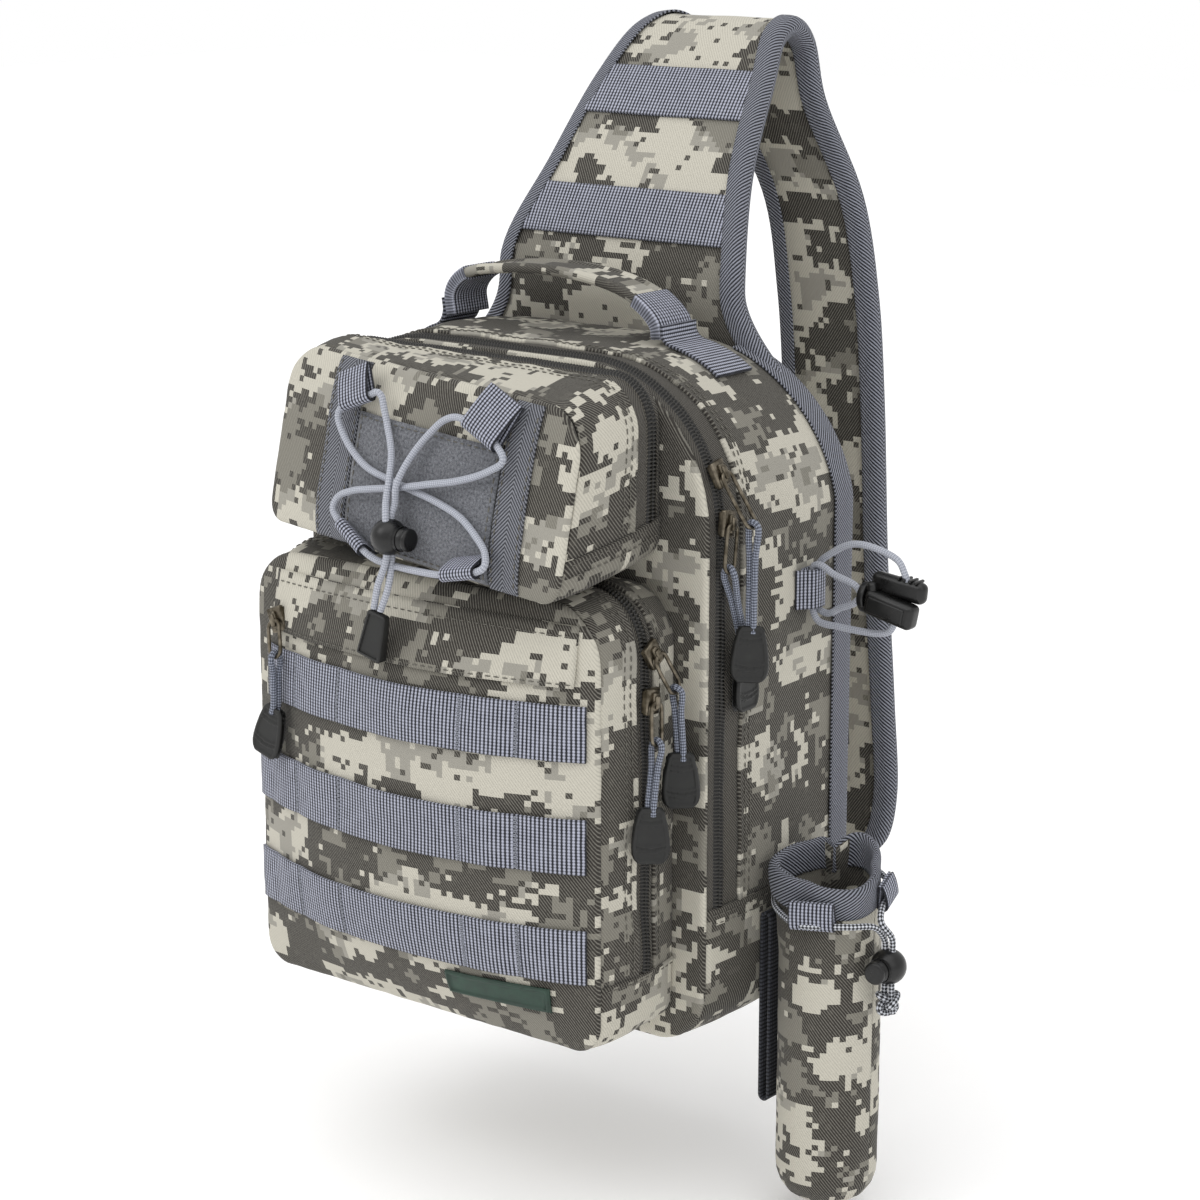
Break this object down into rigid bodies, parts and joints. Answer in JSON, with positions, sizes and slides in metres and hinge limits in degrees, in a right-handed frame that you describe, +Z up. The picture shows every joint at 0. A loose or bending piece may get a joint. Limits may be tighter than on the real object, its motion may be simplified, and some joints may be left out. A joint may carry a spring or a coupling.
{
  "type": "one-shoulder fishing backpack",
  "caption": "One-shoulder tackle backpack in squared camouflage cloth with zipped front pockets, laced cord, webbing rows, a carry handle and a side tube for a rod's butt.",
  "frame": {"origin": "under the top of the shoulder strap's loop, where a hook or hand holds the bag", "axes": "+Z up along the hanging bag, +X to the right seen from the front, +Y from the pockets toward the back panel"},
  "size_m": [0.3122, 0.2801, 0.5384],
  "materials": {
    "camo_cloth": "printed twill polyester, squared grey and cream camouflage",
    "zip_tape": "woven zip tape with nylon coil",
    "binding_tape": "herringbone woven tape",
    "webbing": "ribbed woven webbing",
    "loop_pile": "loop pile",
    "elastic_cord": "braided elastic cord",
    "draw_cord": "flecked braided cord",
    "slider_metal": "antique plated",
    "black_rubber": "matte moulded",
    "black_plastic": "satin moulded",
    "label_rubber": "matte moulded"
  },
  "bodies": {
    "bag": {"main_gusset": "camo_cloth", "main_base": "camo_cloth", "main_front": "camo_cloth", "back_panel": "camo_cloth", "upper_front": "camo_cloth", "upper_gusset": "camo_cloth", "upper_base": "camo_cloth", "lower_front": "camo_cloth", "lower_gusset_front": "camo_cloth", "lower_gusset_rear": "camo_cloth", "lower_base": "camo_cloth", "lower_flap": "camo_cloth", "strap_pad": "camo_cloth", "carry_handle": "camo_cloth", "rod_tube": "camo_cloth", "main_zip": "zip_tape", "upper_zip": "zip_tape", "lower_zip": "zip_tape", "back_binding": "binding_tape", "strap_binding": "binding_tape", "tube_binding": "binding_tape", "tube_strap": "binding_tape", "webbing_1": "webbing", "webbing_2": "webbing", "webbing_3": "webbing", "band_left": "webbing", "band_right": "webbing", "strap_webbing_high": "webbing", "strap_webbing_low": "webbing", "strap_tail": "webbing", "handle_tab_left": "webbing", "handle_tab_right": "webbing", "cord_loop_top_left": "webbing", "cord_loop_top_right": "webbing", "cord_loop_base_left": "webbing", "cord_loop_base_right": "webbing", "tube_loop_front": "webbing", "tube_loop_right": "webbing", "side_tab": "webbing", "pile_panel": "loop_pile", "front_cord": "elastic_cord", "side_cord": "elastic_cord", "tube_cord": "draw_cord", "main_a_slider": "slider_metal", "main_b_slider": "slider_metal", "lower_a_slider": "slider_metal", "lower_b_slider": "slider_metal", "flap_slider": "slider_metal", "main_a_pull": "black_rubber", "main_b_pull": "black_rubber", "lower_a_pull": "black_rubber", "lower_b_pull": "black_rubber", "flap_pull": "black_rubber", "front_cord_end": "black_rubber", "side_toggle": "black_rubber", "front_lock": "black_plastic", "tube_lock": "black_plastic", "label_patch": "label_rubber"},
    "front_lock_plunger": {"front_lock_plunger": "black_plastic"},
    "tube_lock_plunger": {"tube_lock_plunger": "black_plastic"}
  },
  "joints": [
    {"name": "front_lock_press", "type": "slide", "parent": "bag", "child": "front_lock_plunger", "axis": [-1, 0, 0], "range_m": [0, 0.004], "stiffness_N_per_m": 300, "springref_m": -0.004},
    {"name": "tube_lock_press", "type": "slide", "parent": "bag", "child": "tube_lock_plunger", "axis": [0, 1, 0], "range_m": [0, 0.004], "stiffness_N_per_m": 300, "springref_m": -0.004}
  ]
}
